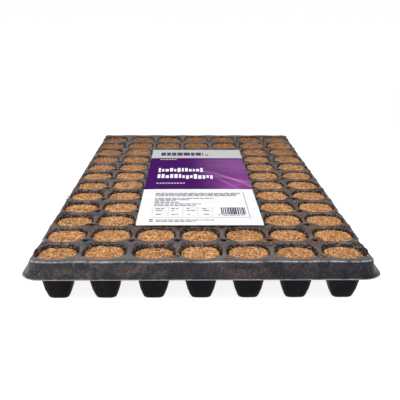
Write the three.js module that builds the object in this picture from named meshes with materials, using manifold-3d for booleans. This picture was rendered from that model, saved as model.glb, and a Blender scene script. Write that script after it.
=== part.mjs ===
// Seedling plug tray: one thermoformed sheet with 7 x 12 tapered cells, a bound
// coir plug standing in every cell, and a label card lying over the middle cells.
// Millimetres, +Z up. The origin is the middle of the footprint, on the plane of
// the cell floors. X runs across the tray (7 cells), Y along it (12 cells).
import * as THREE from "three";
import { mergeVertices } from "three/addons/utils/BufferGeometryUtils.js";
import Module from "manifold-3d";

const wasm = await Module();
wasm.setup();

// ---- driving dimensions ---------------------------------------------------
const COLUMNS = 7;
const ROWS = 12;
const PITCH_X = 41.7; // cell to cell across the tray
const PITCH_Y = 42.65; // cell to cell along the tray
const HEIGHT = 43; // cell floor to deck
const WALL = 0.85; // sheet thickness

const CELL_SIDES = 12;
const CELL_SQUARE = 3; // how square a cell's section is; 2 would be a circle
const CELL_R_FLOOR = 8.9; // outside half width of a cell at its floor
const CELL_R_DECK = 19.65; // outside half width of a cell at the deck
const FLOOR_Z = 0.9; // top face of a cell floor
const DRAIN_R = 4; // drain hole in each cell floor
const VENT_R = 2.4; // vent hole where four cells meet

const DECK_X = 146.4; // half width of the deck
const DECK_Y = 260; // half length of the deck
const DECK_CORNER = 8;
const SKIRT_X = 151.5; // half width at the foot of the skirt
const SKIRT_Y = 262;
const SKIRT_CORNER = 14;
const LIP_X = 155; // half width over the lip
const LIP_Y = 265;
const LIP_CORNER = 17;
const LIP_Z = 26; // underside of the lip
const CORNER_STEPS = 3;

const PLUG_Z0 = 1.2; // underside of a plug, just clear of the floor
const PLUG_Z1 = 40; // top of a plug, 3 mm below the deck
const PLUG_R0 = 7.6; // half width of a plug at its foot
const PLUG_R1 = 17.6; // and at its top

const STRIP_W = 2; // crumb strip that joins two plugs over the web between cells
const STRIP_Z0 = 43.3;
const STRIP_Z1 = 43.7;
const POST_R = 15.4; // where a strip comes down on to a plug

const CARD_X = 124; // label card, width
const CARD_Y0 = -174.4; // its front edge
const CARD_Y1 = 152; // its rear edge
const CARD_Z = 44.0;
const CARD_T = 0.4;
const CARD_FIRST_COLUMN = 3,
  CARD_LAST_COLUMN = 5;
const CARD_FIRST_ROW = 3,
  CARD_LAST_ROW = 10;

// ---- helpers --------------------------------------------------------------
const cellX = (column) => (column - (COLUMNS + 1) / 2) * PITCH_X;
const cellY = (row) => (row - (ROWS + 1) / 2) * PITCH_Y;

// A closed geometry as a solid that can be cut and joined.
function solid(geometry) {
  const g = geometry.clone();
  for (const name of Object.keys(g.attributes))
    if (name !== "position") g.deleteAttribute(name);
  const merged = mergeVertices(g, 1e-4);
  return new wasm.Manifold(
    new wasm.Mesh({
      numProp: 3,
      vertProperties: new Float32Array(merged.attributes.position.array),
      triVerts: new Uint32Array(merged.index.array),
    }),
  );
}

// A cut or joined solid back as a geometry.
function geometryOf(made) {
  const mesh = made.getMesh();
  const positions = new Float32Array(mesh.numVert * 3);
  for (let i = 0; i < mesh.numVert; i++)
    positions.set(
      mesh.vertProperties.subarray(i * mesh.numProp, i * mesh.numProp + 3),
      i * 3,
    );
  const g = new THREE.BufferGeometry();
  g.setAttribute("position", new THREE.BufferAttribute(positions, 3));
  g.setIndex(new THREE.BufferAttribute(new Uint32Array(mesh.triVerts), 1));
  g.computeVertexNormals();
  return g;
}

const joined = (solids) => wasm.Manifold.union(solids);

// An upright frustum with a regular polygon section, a corner pointing along +X.
function frustum(sides, r0, z0, r1, z1, x = 0, y = 0, turn = 0) {
  const g = new THREE.CylinderGeometry(r1, r0, z1 - z0, sides);
  g.rotateX(Math.PI / 2); // the cylinder's axis to +Z
  g.rotateZ(turn);
  g.translate(x, y, (z0 + z1) / 2);
  return solid(g);
}

function block(x0, x1, y0, y1, z0, z1) {
  const g = new THREE.BoxGeometry(x1 - x0, y1 - y0, z1 - z0);
  g.translate((x0 + x1) / 2, (y0 + y1) / 2, (z0 + z1) / 2);
  return solid(g);
}

// A rounded rectangle, anticlockwise from above, always with the same number of points.
function roundedRing(hx, hy, r, z) {
  const ring = [];
  const centres = [
    [hx - r, hy - r, 0],
    [r - hx, hy - r, Math.PI / 2],
    [r - hx, r - hy, Math.PI],
    [hx - r, r - hy, (3 * Math.PI) / 2],
  ];
  for (const [cx, cy, from] of centres)
    for (let i = 0; i <= CORNER_STEPS; i++) {
      const a = from + (i / CORNER_STEPS) * (Math.PI / 2);
      ring.push([cx + r * Math.cos(a), cy + r * Math.sin(a), z]);
    }
  return ring;
}

// A closed solid through rings of equal length, listed from the top down.
function loft(rings) {
  const n = rings[0].length;
  const positions = rings.flat(2);
  const faces = [];
  for (let k = 0; k + 1 < rings.length; k++)
    for (let i = 0; i < n; i++) {
      const j = (i + 1) % n;
      const a = k * n + i,
        b = k * n + j,
        c = (k + 1) * n + i,
        d = (k + 1) * n + j;
      faces.push(c, d, b, c, b, a);
    }
  const last = (rings.length - 1) * n;
  for (let i = 1; i + 1 < n; i++) {
    faces.push(0, i, i + 1);
    faces.push(last, last + i + 1, last + i);
  }
  const g = new THREE.BufferGeometry();
  g.setAttribute("position", new THREE.Float32BufferAttribute(positions, 3));
  g.setIndex(faces);
  return solid(g);
}

// A tapered solid with a rounded square section. r0 and r1 are half widths.
function taperedCell(r0, z0, r1, z1, x, y) {
  const ring = (r, z) =>
    Array.from({ length: CELL_SIDES }, (_, i) => {
      const a = (i / CELL_SIDES) * 2 * Math.PI,
        c = Math.cos(a),
        s = Math.sin(a),
        k =
          r /
          (Math.abs(c) ** CELL_SQUARE + Math.abs(s) ** CELL_SQUARE) **
            (1 / CELL_SQUARE);
      return [x + k * c, y + k * s, z];
    });
  return loft([ring(r1, z1), ring(r0, z0)]);
}

// ---- materials ------------------------------------------------------------
const blackSheet = new THREE.MeshStandardMaterial({
  color: 0x2b2a2e,
  roughness: 0.45,
  metalness: 0,
});
const coir = new THREE.MeshStandardMaterial({
  color: 0xc08a55,
  roughness: 0.95,
  metalness: 0,
});
const printedCard = new THREE.MeshStandardMaterial({
  color: 0xe8e8ea,
  roughness: 0.5,
  metalness: 0,
});

// ---- the tray -------------------------------------------------------------
function makeTray() {
  const body = loft([
    roundedRing(DECK_X, DECK_Y, DECK_CORNER, HEIGHT),
    roundedRing(SKIRT_X, SKIRT_Y, SKIRT_CORNER, LIP_Z + WALL),
    roundedRing(LIP_X, LIP_Y, LIP_CORNER, LIP_Z + WALL),
    roundedRing(LIP_X, LIP_Y, LIP_CORNER, LIP_Z),
  ]);
  const under = loft([
    roundedRing(DECK_X - 0.7, DECK_Y - 0.7, DECK_CORNER, HEIGHT - WALL),
    roundedRing(SKIRT_X - 0.7, SKIRT_Y - 0.7, SKIRT_CORNER, LIP_Z - 0.2),
  ]);
  const taper = (CELL_R_DECK - CELL_R_FLOOR) / HEIGHT;
  const outside = (z) => CELL_R_FLOOR + taper * z;
  const cups = [],
    hollows = [],
    holes = [];
  for (let row = 1; row <= ROWS; row++)
    for (let column = 1; column <= COLUMNS; column++) {
      const x = cellX(column),
        y = cellY(row),
        top = HEIGHT - WALL / 2,
        over = HEIGHT + 0.5;
      cups.push(taperedCell(outside(0), 0, outside(top), top, x, y));
      hollows.push(
        taperedCell(
          outside(FLOOR_Z) - WALL,
          FLOOR_Z,
          outside(over) - WALL,
          over,
          x,
          y,
        ),
      );
      holes.push(frustum(6, DRAIN_R, -0.5, DRAIN_R, FLOOR_Z + 0.5, x, y));
      if (row < ROWS && column < COLUMNS)
        holes.push(
          frustum(
            4,
            VENT_R,
            HEIGHT - 2,
            VENT_R,
            HEIGHT + 1,
            x + PITCH_X / 2,
            y + PITCH_Y / 2,
          ),
        );
    }
  return body
    .subtract(under)
    .add(joined(cups))
    .subtract(joined(hollows))
    .subtract(joined(holes));
}

// ---- plugs ----------------------------------------------------------------
const plugAt = (column, row) =>
  taperedCell(
    PLUG_R0,
    PLUG_Z0,
    PLUG_R1,
    PLUG_Z1,
    cellX(column),
    cellY(row),
  );

// A strip of crumbs from one plug over the web to a neighbour.
function strip(column, row, nextColumn, nextRow) {
  const x0 = cellX(column),
    y0 = cellY(row),
    x1 = cellX(nextColumn),
    y1 = cellY(nextRow),
    h = STRIP_W / 2;
  if (nextRow > row) {
    const a = y0 + POST_R,
      b = y1 - POST_R;
    return joined([
      block(x0 - h, x0 + h, a - h, b + h, STRIP_Z0, STRIP_Z1),
      block(x0 - h, x0 + h, a - h, a + h, PLUG_Z1 - 1, STRIP_Z1),
      block(x0 - h, x0 + h, b - h, b + h, PLUG_Z1 - 1, STRIP_Z1),
    ]);
  }
  const a = x0 + POST_R,
    b = x1 - POST_R;
  return joined([
    block(a - h, b + h, y0 - h, y0 + h, STRIP_Z0, STRIP_Z1),
    block(a - h, a + h, y0 - h, y0 + h, PLUG_Z1 - 1, STRIP_Z1),
    block(b - h, b + h, y0 - h, y0 + h, PLUG_Z1 - 1, STRIP_Z1),
  ]);
}

const underCard = (column, row) =>
  column >= CARD_FIRST_COLUMN &&
  column <= CARD_LAST_COLUMN &&
  row >= CARD_FIRST_ROW &&
  row <= CARD_LAST_ROW;

// ---- assembly -------------------------------------------------------------
const plugTray = new THREE.Group();
plugTray.name = "plug_tray";

function mesh(name, geometry, material) {
  const made = new THREE.Mesh(geometry, material);
  made.name = name;
  return made;
}

plugTray.add(mesh("cell_tray", geometryOf(makeTray()), blackSheet));

const contents = new THREE.Group();
contents.name = "plugs";
plugTray.add(contents);

const two = (n) => String(n).padStart(2, "0");
const sheltered = [];
for (let row = 1; row <= ROWS; row++)
  for (let column = 1; column <= COLUMNS; column++) {
    const behindCard =
      row > CARD_LAST_ROW &&
      column >= CARD_FIRST_COLUMN &&
      column <= CARD_LAST_COLUMN;
    if (underCard(column, row)) {
      sheltered.push(plugAt(column, row));
      if (row < CARD_LAST_ROW)
        sheltered.push(strip(column, row, column, row + 1));
      if (row === CARD_LAST_ROW && column < CARD_LAST_COLUMN)
        sheltered.push(strip(column, row, column + 1, row));
    } else if (behindCard) {
      if (row === ROWS) continue;
      // the two rearmost plugs of a column behind the card come out as a pair
      contents.add(
        mesh(
          `plug_pair_c${column}_r${row}_r${row + 1}`,
          geometryOf(
            joined([
              plugAt(column, row),
              plugAt(column, row + 1),
              strip(column, row, column, row + 1),
            ]),
          ),
          coir,
        ),
      );
    } else {
      contents.add(
        mesh(`plug_r${two(row)}_c${column}`, geometryOf(plugAt(column, row)), coir),
      );
    }
  }
contents.add(mesh("plugs_under_card", geometryOf(joined(sheltered)), coir));

const cardGeometry = new THREE.BoxGeometry(CARD_X, CARD_Y1 - CARD_Y0, CARD_T);
const card = mesh("label_card", cardGeometry, printedCard);
card.position.set(0, (CARD_Y0 + CARD_Y1) / 2, CARD_Z + CARD_T / 2);
plugTray.add(card);

export default plugTray;
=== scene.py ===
"""Seedling plug tray: a thermoformed black tray of 7 x 12 tapered cells, a coir plug in every cell and a printed card lying on the deck.

Lengths are in millimetres while a mesh is worked out, and go to metres as it is made.
"""

import math

import bpy
import numpy as np
from mathutils import Matrix, Vector
from mathutils.geometry import delaunay_2d_cdt


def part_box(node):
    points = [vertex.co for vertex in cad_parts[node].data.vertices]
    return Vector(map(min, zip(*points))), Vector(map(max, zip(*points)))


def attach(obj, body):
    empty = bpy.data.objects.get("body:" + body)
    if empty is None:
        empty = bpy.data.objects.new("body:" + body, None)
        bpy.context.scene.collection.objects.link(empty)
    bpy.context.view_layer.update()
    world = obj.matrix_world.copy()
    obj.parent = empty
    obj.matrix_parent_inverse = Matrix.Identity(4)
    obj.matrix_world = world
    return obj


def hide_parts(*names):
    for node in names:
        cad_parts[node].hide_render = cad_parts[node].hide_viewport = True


np.seterr(over="ignore")
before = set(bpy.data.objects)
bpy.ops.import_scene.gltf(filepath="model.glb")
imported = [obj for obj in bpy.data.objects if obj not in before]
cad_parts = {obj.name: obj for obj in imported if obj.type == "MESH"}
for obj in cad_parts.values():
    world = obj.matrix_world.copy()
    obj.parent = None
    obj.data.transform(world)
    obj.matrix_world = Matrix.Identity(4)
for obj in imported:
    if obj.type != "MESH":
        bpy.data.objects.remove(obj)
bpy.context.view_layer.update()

# ---------------------------------------------------------------- sizes, from the frame
MM = 1000.0


def box_mm(node):
    lo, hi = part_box(node)
    return np.array(lo) * MM, np.array(hi) * MM


TRAY_LO, TRAY_HI = box_mm("cell_tray")
CARD_LO, CARD_HI = box_mm("label_card")
COLUMNS, ROWS = 7, 12


def centre_of(node):
    lo, hi = box_mm(node)
    return (lo + hi) / 2


FIRST, LAST_X, LAST_Y = (
    centre_of("plug_r01_c1"),
    centre_of("plug_r01_c7"),
    centre_of("plug_r12_c1"),
)
PX = (LAST_X[0] - FIRST[0]) / (COLUMNS - 1)
PY = (LAST_Y[1] - FIRST[1]) / (ROWS - 1)
DECK = TRAY_HI[2]
LIP_X, LIP_Y = TRAY_HI[0], TRAY_HI[1]
PLUG_LO, PLUG_HI = box_mm("plug_r01_c1")
PLUG_TOP = PLUG_HI[2]
PLUG_R = (PLUG_HI[0] - PLUG_LO[0]) / 2

SHEET = 0.85  # thickness of the sheet
MOUTH_R = 19.3
MOUTH_FILLET = 1.7
VENT_R = 2.45
DRAIN_R = 4.0
CORNER_R = 7.0
WEB_DIP = 1.3  # how far a web sags below the corners where four cells meet
OUT_X = 10.2  # from the edge of the deck to the rim of the lip, across
OUT_Y = 4.7  # and along
LIP_Z = 26.0
PINCHED = (1, 3, 9, 11)  # the long sides are drawn in behind these rows
MOUTH_SHIFT_ROW_1 = (-0.5, -1.1, 0.7, -0.4, -0.3, 0.3, 0.6)


def cell_x(c):
    return (c - (COLUMNS + 1) / 2) * PX


def cell_y(r):
    return (r - (ROWS + 1) / 2) * PY


def warp(p):
    """The tray isn't quite flat: its rear end stands a little proud."""
    p = np.array(p, float)
    t = np.clip((p[:, 1] + 20) / 280, 0, 1)
    p[:, 2] += 1.2 * t * t * (3 - 2 * t) * p[:, 2] / DECK
    return p


# ---------------------------------------------------------------- numbers that look random, the same every run
def hash01(*keys):
    h = np.zeros(np.broadcast(*keys).shape, np.uint64) + np.uint64(0x9E3779B97F4A7C15)
    for k in keys:
        v = np.asarray(k).astype(np.int64).astype(np.uint64)
        h = (h ^ v) * np.uint64(0xBF58476D1CE4E5B9)
        h = h ^ (h >> np.uint64(29))
        h = h * np.uint64(0x94D049BB133111EB)
        h = h ^ (h >> np.uint64(32))
    return (h >> np.uint64(11)).astype(float) / float(1 << 53)


def vnoise(p, size, seed):
    """Smooth value noise from -1 to 1 on points p (n, 3), with features about size across."""
    q = p / size
    i = np.floor(q)
    f = q - i
    f = f * f * f * (f * (f * 6 - 15) + 10)
    i = i.astype(np.int64)
    total = 0.0
    for dx in (0, 1):
        for dy in (0, 1):
            for dz in (0, 1):
                w = (
                    (f[:, 0] if dx else 1 - f[:, 0])
                    * (f[:, 1] if dy else 1 - f[:, 1])
                    * (f[:, 2] if dz else 1 - f[:, 2])
                )
                total = total + w * hash01(
                    i[:, 0] + dx, i[:, 1] + dy, i[:, 2] + dz, seed
                )
    return total * 2 - 1


def fbm(p, size, seed, octaves=3, gain=0.5):
    out, amp, norm = 0.0, 1.0, 0.0
    for k in range(octaves):
        out = out + amp * vnoise(p, size / 2**k, seed + 17 * k)
        norm += amp
        amp *= gain
    return out / norm


def granules(p, size, seed):
    """Heights from 0 to 1 of rounded grains about size apart, on the XY of p."""
    q = p[:, :2] / size
    i = np.floor(q).astype(np.int64)
    best = np.zeros(len(p))
    for dx in (-1, 0, 1):
        for dy in (-1, 0, 1):
            cx, cy = i[:, 0] + dx, i[:, 1] + dy
            ox = cx + hash01(cx, cy, seed)
            oy = cy + hash01(cx, cy, seed + 1)
            r = 0.35 + 0.5 * hash01(cx, cy, seed + 2)
            lift = 0.55 + 0.45 * hash01(cx, cy, seed + 3)
            d2 = (q[:, 0] - ox) ** 2 + (q[:, 1] - oy) ** 2
            best = np.maximum(best, lift * np.sqrt(np.clip(1 - d2 / r**2, 0, 1)))
    return best


def smooth(x):
    x = np.clip(x, 0, 1)
    return x * x * (3 - 2 * x)


def mouth_of(col, row):
    """Each cell's mouth is a little off centre and a little off size: (dx, dy, radius)."""
    h = [float(hash01(row * 31 + col * 7, k)) for k in (61, 62, 63)]
    dx = MOUTH_SHIFT_ROW_1[col - 1] if row == 1 else (h[0] - 0.5) * 1.1
    if col in (1, COLUMNS) and row > 1:
        dx *= 0.4
    return dx, (h[1] - 0.5) * 0.9, MOUTH_R + (h[2] - 0.5) * 0.4


def pinch_at(y):
    out = 0.0
    for k in PINCHED:
        out = out + 3.0 * np.exp(-(((y - (cell_y(k) + PY / 2)) / 4.4) ** 2))
    return out


# ---------------------------------------------------------------- mesh and material helpers
def make_mesh(name, verts_mm, faces, materials=(), face_material=None, smooth_shade=True):
    """faces is a list of index lists, or an (n, 3) or (n, 4) array, or a list of such arrays."""
    verts = np.asarray(verts_mm, np.float64) / MM
    groups = faces if isinstance(faces, list) and isinstance(faces[0], np.ndarray) else [faces]
    loops, starts, totals = [], [], []
    at = 0
    for g in groups:
        g = np.asarray(g)
        n, k = g.shape
        loops.append(g.reshape(-1))
        starts.append(at + np.arange(n) * k)
        totals.append(np.full(n, k))
        at += n * k
    loops, starts, totals = map(np.concatenate, (loops, starts, totals))
    me = bpy.data.meshes.new(name)
    me.vertices.add(len(verts))
    me.vertices.foreach_set("co", verts.astype(np.float32).reshape(-1))
    me.loops.add(len(loops))
    me.loops.foreach_set("vertex_index", loops.astype(np.int32))
    me.polygons.add(len(starts))
    me.polygons.foreach_set("loop_start", starts.astype(np.int32))
    me.polygons.foreach_set("loop_total", totals.astype(np.int32))
    for m in materials:
        me.materials.append(m)
    if face_material is not None:
        me.polygons.foreach_set("material_index", np.asarray(face_material, np.int32))
    me.update(calc_edges=True)
    me.validate()
    me.polygons.foreach_set("use_smooth", np.full(len(me.polygons), smooth_shade))
    o = bpy.data.objects.new(name, me)
    bpy.context.scene.collection.objects.link(o)
    return o


def point_attribute(o, name, values):
    a = o.data.attributes.new(name, "FLOAT", "POINT")
    a.data.foreach_set("value", np.asarray(values, np.float32))


class Nodes:
    """A small writer for shader nodes."""

    def __init__(self, name):
        self.material = bpy.data.materials.new(name)
        self.material.use_nodes = True
        self.tree = self.material.node_tree
        self.tree.nodes.clear()
        self.out = self.tree.nodes.new("ShaderNodeOutputMaterial")
        self.bsdf = self.tree.nodes.new("ShaderNodeBsdfPrincipled")
        self.tree.links.new(self.bsdf.outputs[0], self.out.inputs["Surface"])
        self.coords = self.tree.nodes.new("ShaderNodeTexCoord").outputs["Object"]

    def link(self, a, b):
        self.tree.links.new(a, b)

    def put(self, socket, value):
        if isinstance(value, bpy.types.NodeSocket):
            self.link(value, socket)
        elif isinstance(value, (tuple, list)) and len(value) == 3 and len(socket.default_value) == 4:
            socket.default_value = (*value, 1)
        else:
            socket.default_value = value

    def noise(self, size_mm, detail=4.0, rough=0.55, distortion=0.0, vector=None, colour=False):
        n = self.tree.nodes.new("ShaderNodeTexNoise")
        self.link(vector or self.coords, n.inputs["Vector"])
        n.inputs["Scale"].default_value = MM / size_mm
        n.inputs["Detail"].default_value = detail
        n.inputs["Roughness"].default_value = rough
        n.inputs["Distortion"].default_value = distortion
        return n.outputs["Color" if colour else "Fac"]

    def voronoi(self, size_mm, feature="F1", output="Distance", randomness=1.0, vector=None):
        n = self.tree.nodes.new("ShaderNodeTexVoronoi")
        n.feature = feature
        self.link(vector or self.coords, n.inputs["Vector"])
        n.inputs["Scale"].default_value = MM / size_mm
        n.inputs["Randomness"].default_value = randomness
        return n.outputs[output]

    def math(self, op, a, b=0.0, c=None, clamp=False):
        n = self.tree.nodes.new("ShaderNodeMath")
        n.operation = op
        n.use_clamp = clamp
        self.put(n.inputs[0], a)
        self.put(n.inputs[1], b)
        if c is not None:
            self.put(n.inputs[2], c)
        return n.outputs[0]

    def ramp(self, value, lo, hi, out_lo=0.0, out_hi=1.0, soft=True):
        n = self.tree.nodes.new("ShaderNodeMapRange")
        n.interpolation_type = "SMOOTHSTEP" if soft else "LINEAR"
        n.clamp = True
        self.put(n.inputs["Value"], value)
        n.inputs["From Min"].default_value = lo
        n.inputs["From Max"].default_value = hi
        n.inputs["To Min"].default_value = out_lo
        n.inputs["To Max"].default_value = out_hi
        return n.outputs["Result"]

    def mix(self, fac, a, b):
        n = self.tree.nodes.new("ShaderNodeMix")
        n.data_type = "RGBA"
        self.put(n.inputs["Factor"], fac)
        self.put(n.inputs[6], a)
        self.put(n.inputs[7], b)
        return n.outputs[2]

    def multiply(self, a, b):
        n = self.tree.nodes.new("ShaderNodeMix")
        n.data_type = "RGBA"
        n.blend_type = "MULTIPLY"
        n.inputs["Factor"].default_value = 1.0
        self.put(n.inputs[6], a)
        self.put(n.inputs[7], b)
        return n.outputs[2]

    def stretched(self, sx, sy, sz, turn=0.0):
        n = self.tree.nodes.new("ShaderNodeMapping")
        self.link(self.coords, n.inputs["Vector"])
        n.inputs["Scale"].default_value = (sx, sy, sz)
        n.inputs["Rotation"].default_value = (0, 0, turn)
        return n.outputs[0]

    def xyz(self):
        n = self.tree.nodes.new("ShaderNodeSeparateXYZ")
        self.link(self.coords, n.inputs[0])
        return n.outputs

    def attribute(self, name):
        n = self.tree.nodes.new("ShaderNodeAttribute")
        n.attribute_name = name
        return n.outputs["Fac"]

    def bump(self, height, distance_mm, strength=1.0, normal=None):
        n = self.tree.nodes.new("ShaderNodeBump")
        n.inputs["Strength"].default_value = strength
        n.inputs["Distance"].default_value = distance_mm / MM
        self.link(height, n.inputs["Height"])
        if normal is not None:
            self.link(normal, n.inputs["Normal"])
        return n.outputs[0]

    def finish(self, colour, roughness, normal=None, **fixed):
        self.put(self.bsdf.inputs["Base Color"], colour)
        self.put(self.bsdf.inputs["Roughness"], roughness)
        if normal is not None:
            self.link(normal, self.bsdf.inputs["Normal"])
        for k, v in fixed.items():
            self.bsdf.inputs[k.replace("_", " ")].default_value = v
        return self.material


# ---------------------------------------------------------------- materials
def black_sheet():
    """Thermoformed black plastic with peat dust, scuffs and soil in the cells, and a light grey along the cell rims,
    the deck's outer edge and the lip that is partly wear and partly a painted highlight.
    """
    m = Nodes("black_sheet")
    broad = m.noise(46, 5, 0.6)
    patch = m.noise(13, 6, 0.65, 0.6)
    fine = m.noise(2.2, 5, 0.7)
    grit = m.noise(0.75, 3, 0.7)
    soil = m.attribute("soil")
    edge = m.attribute("edge")
    dust = m.math("MULTIPLY", m.ramp(broad, 0.38, 0.66), m.ramp(patch, 0.40, 0.66))
    dust = m.math("MULTIPLY", dust, m.ramp(fine, 0.30, 0.70, 0.35, 1.0))
    specks = m.math(
        "MULTIPLY",
        m.ramp(grit, 0.60, 0.67),
        m.ramp(patch, 0.40, 0.62, 0.15, 1.0),
    )
    chalk = m.math("MULTIPLY", m.ramp(m.noise(1.0, 2, 0.6), 0.66, 0.71), m.ramp(broad, 0.42, 0.6))
    base = m.mix(m.ramp(patch, 0.3, 0.7), (0.0062, 0.0058, 0.0108), (0.0145, 0.0132, 0.0215))
    # the dust mix is heavier on the left (-x) than on the right, so the sheet is lighter on its left
    side = m.ramp(m.xyz()[0], 0.150, -0.150, 0.15, 0.95, soft=False)
    base = m.mix(m.math("MULTIPLY", dust, side), base, (0.132, 0.093, 0.078))
    base = m.mix(m.math("MULTIPLY", specks, 0.55), base, (0.36, 0.215, 0.125))
    lie = m.tree.nodes.new("ShaderNodeNewGeometry").outputs["Normal"]
    apart = m.tree.nodes.new("ShaderNodeSeparateXYZ")
    m.link(lie, apart.inputs[0])
    settled = m.math("MULTIPLY", m.ramp(apart.outputs[2], 0.80, 0.985), m.ramp(patch, 0.38, 0.66, 0.08, 0.85))
    settled = m.math("MULTIPLY", settled, m.ramp(fine, 0.34, 0.62, 0.40, 1.0))
    along = m.xyz()[1]
    settled = m.math("MULTIPLY", settled, m.ramp(along, -0.245, -0.175, 0.45, 1.0))
    base = m.mix(settled, base, (0.185, 0.112, 0.070))
    # light grey mixed in where the edge attribute is high: partly wear, partly a painted highlight on the rims and
    # edges
    wear_and_highlight_breakup = m.math("MULTIPLY", m.ramp(fine, 0.36, 0.56, 0.30, 1.0), m.ramp(patch, 0.34, 0.58, 0.25, 0.85))
    wear_and_painted_highlight = m.math("MULTIPLY", edge, wear_and_highlight_breakup)
    base = m.mix(wear_and_painted_highlight, base, (0.46, 0.445, 0.455))
    in_cell = m.math("MULTIPLY", soil, m.ramp(fine, 0.42, 0.62))
    base = m.mix(m.math("MULTIPLY", in_cell, 0.30), base, (0.055, 0.028, 0.016))
    base = m.mix(m.math("MULTIPLY", chalk, 0.45), base, (0.42, 0.40, 0.40))
    flecks = m.math("MULTIPLY", soil, m.ramp(m.noise(2.0, 3, 0.7), 0.54, 0.59))
    base = m.mix(m.math("MULTIPLY", flecks, 0.80), base, (0.42, 0.285, 0.185))
    # scuffs that run up the skirt and round the cells
    scuff = m.noise(1.6, 2, 0.5, 0.0, m.stretched(1, 1, 0.09))
    scuff = m.math("MULTIPLY", m.ramp(scuff, 0.62, 0.72), m.ramp(broad, 0.45, 0.6))
    base = m.mix(m.math("MULTIPLY", scuff, 0.14), base, (0.20, 0.19, 0.20))
    rough = m.math("ADD", m.math("MULTIPLY", dust, 0.30), m.ramp(fine, 0.25, 0.75, 0.28, 0.42))
    rough = m.math("ADD", rough, m.math("MULTIPLY", in_cell, 0.3))
    rough = m.math("SUBTRACT", rough, m.math("MULTIPLY", edge, 0.10), clamp=True)
    height = m.math("ADD", m.math("MULTIPLY", patch, 0.75), m.math("MULTIPLY", fine, 0.12))
    height = m.math("ADD", height, m.math("MULTIPLY", grit, 0.05))
    # the dust dulls the sheet's sheen, least along the front
    sheen = m.ramp(along, -0.250, -0.165, 0.27, 0.125)
    # the sheen is also set higher on the left than on the right
    sheen = m.math("MULTIPLY", sheen, m.ramp(m.xyz()[0], 0.140, -0.140, 0.62, 1.08, soft=False))
    level = m.math("MULTIPLY", m.ramp(apart.outputs[2], 0.80, 0.985), m.ramp(along, -0.250, -0.180, 0.22, 0.0))
    m.put(m.bsdf.inputs["Specular IOR Level"], m.math("ADD", sheen, level))
    return m.finish(base, rough, m.bump(height, 0.5, 0.5))


def sheet_underside_painted_shade():
    """The side of the sheet that faced away from the mould: more matt, and given a darker colour than the top side as
    painted shade, since it lies under the tray.
    """
    m = Nodes("sheet_underside_painted_shade")
    patch = m.noise(15, 5, 0.6, 0.5)
    fine = m.noise(1.8, 4, 0.7)
    # the base colour here is darker than the top side's: painted shade
    base = m.mix(m.ramp(patch, 0.3, 0.7), (0.0024, 0.0021, 0.0038), (0.0054, 0.0048, 0.0078))
    smear = m.math("MULTIPLY", m.ramp(patch, 0.54, 0.70), m.ramp(fine, 0.42, 0.66))
    base = m.mix(m.math("MULTIPLY", smear, 0.35), base, (0.085, 0.050, 0.032))
    height = m.math("ADD", m.math("MULTIPLY", patch, 0.6), m.math("MULTIPLY", fine, 0.15))
    rough = m.ramp(fine, 0.25, 0.75, 0.42, 0.58)
    return m.finish(base, rough, m.bump(height, 0.5, 0.5), Specular_IOR_Level=0.06)


def cut_edge_painted_highlight():
    """The trimmed edge of the sheet, rough, and light grey: partly stress-whitening, partly a painted highlight along
    the lip.
    """
    m = Nodes("trimmed_edge_painted_highlight")
    n = m.noise(1.3, 4, 0.7)
    long = m.noise(14, 3, 0.6)
    # light grey: partly stress-whitening, partly a painted highlight
    c = m.mix(m.ramp(n, 0.3, 0.7), (0.21, 0.198, 0.194), (0.42, 0.40, 0.39))
    c = m.mix(m.ramp(long, 0.58, 0.75, 0.0, 0.5), c, (0.12, 0.10, 0.09))
    return m.finish(c, m.ramp(n, 0.2, 0.8, 0.35, 0.6), m.bump(n, 0.15, 0.6), IOR=1.5)


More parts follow.
